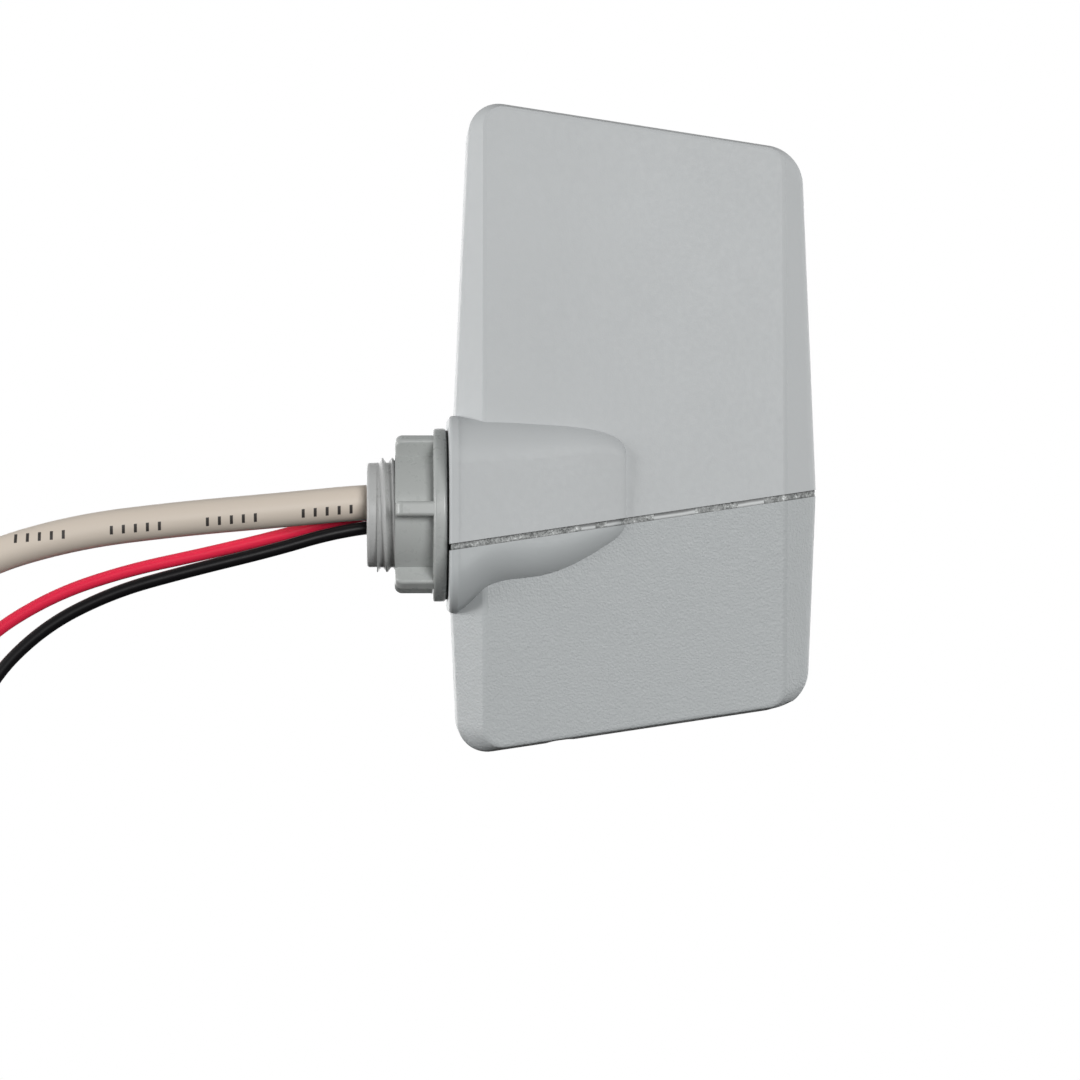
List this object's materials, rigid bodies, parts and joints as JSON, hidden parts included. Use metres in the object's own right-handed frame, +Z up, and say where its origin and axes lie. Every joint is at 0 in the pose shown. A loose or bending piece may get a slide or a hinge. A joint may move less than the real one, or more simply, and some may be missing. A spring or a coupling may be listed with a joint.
{
  "type": "conduit-mounted status and communication unit",
  "caption": "Slim wedge-sided outdoor electronics housing with a light-guide seam, threaded conduit nipple, locknut, data cable and power leads.",
  "frame": {"origin": "centre of the collar's flat rear face, on the axis of the conduit nipple", "axes": "+Y out of the nipple, +Z up the tall shell, X across the unit's thickness"},
  "size_m": [0.0362, 0.1941, 0.3015],
  "materials": {
    "shell_plastic": "fine matte, light grey",
    "nipple_plastic": "satin, mid grey",
    "nut_plastic": "satin, mid grey",
    "light_guide": "clear, textured",
    "seal_rubber": "matte black",
    "silicone": "soft grey",
    "circuit_board": "solder-masked",
    "black_parts": "moulded black",
    "green_connector": "moulded",
    "lamp": "clear dome",
    "steel": "zinc plated",
    "tin_plate": "bright tin",
    "brass": "machined",
    "can_metal": "satin sleeve",
    "ribbon": "white film",
    "tie_nylon": "natural nylon",
    "cable_jacket": "cream jacket",
    "red_insulation": "red",
    "black_insulation": "black",
    "plug_plastic": "clear grey",
    "gold_contact": "plated"
  },
  "bodies": {
    "housing": {"upper_shell": "shell_plastic", "lower_shell": "shell_plastic", "light_guide": "light_guide", "upper_seal": "seal_rubber", "lower_seal": "seal_rubber", "conduit_nipple": "nipple_plastic", "nipple_o_ring": "seal_rubber", "cable_seal": "silicone", "case_screws": "steel", "threaded_inserts": "brass", "main_board": "circuit_board", "processor_chips": "black_parts", "board_capacitors": "can_metal", "power_inductor": "black_parts", "wire_terminal": "green_connector", "data_header": "black_parts", "radio_shield": "tin_plate", "antenna_plate": "tin_plate", "led_board": "circuit_board", "leds": "lamp", "led_screws": "steel", "led_ribbon": "ribbon", "cable_tie": "tie_nylon", "inner_data_cable": "cable_jacket", "inner_red_lead": "red_insulation", "inner_black_lead": "black_insulation", "data_cable": "cable_jacket", "red_lead": "red_insulation", "black_lead": "black_insulation", "data_plug": "plug_plastic", "plug_contacts": "gold_contact", "red_ferrule": "tin_plate", "black_ferrule": "tin_plate"},
    "washer": {"sealing_washer": "seal_rubber"},
    "nut": {"locknut": "nut_plastic"}
  },
  "joints": [
    {"name": "nut_travel", "type": "slide", "parent": "housing", "child": "washer", "axis": [0, 1, 0], "range_m": [0, 0.0145]},
    {"name": "nut_spin", "type": "hinge", "parent": "washer", "child": "nut", "pos_m": [0, 0, 0], "axis": [0, 1, 0], "range_deg": [0, 2880]}
  ],
  "couplings": [
    {"joint": "nut_spin", "follows": "nut_travel", "rad_per_m": 3463.2}
  ]
}
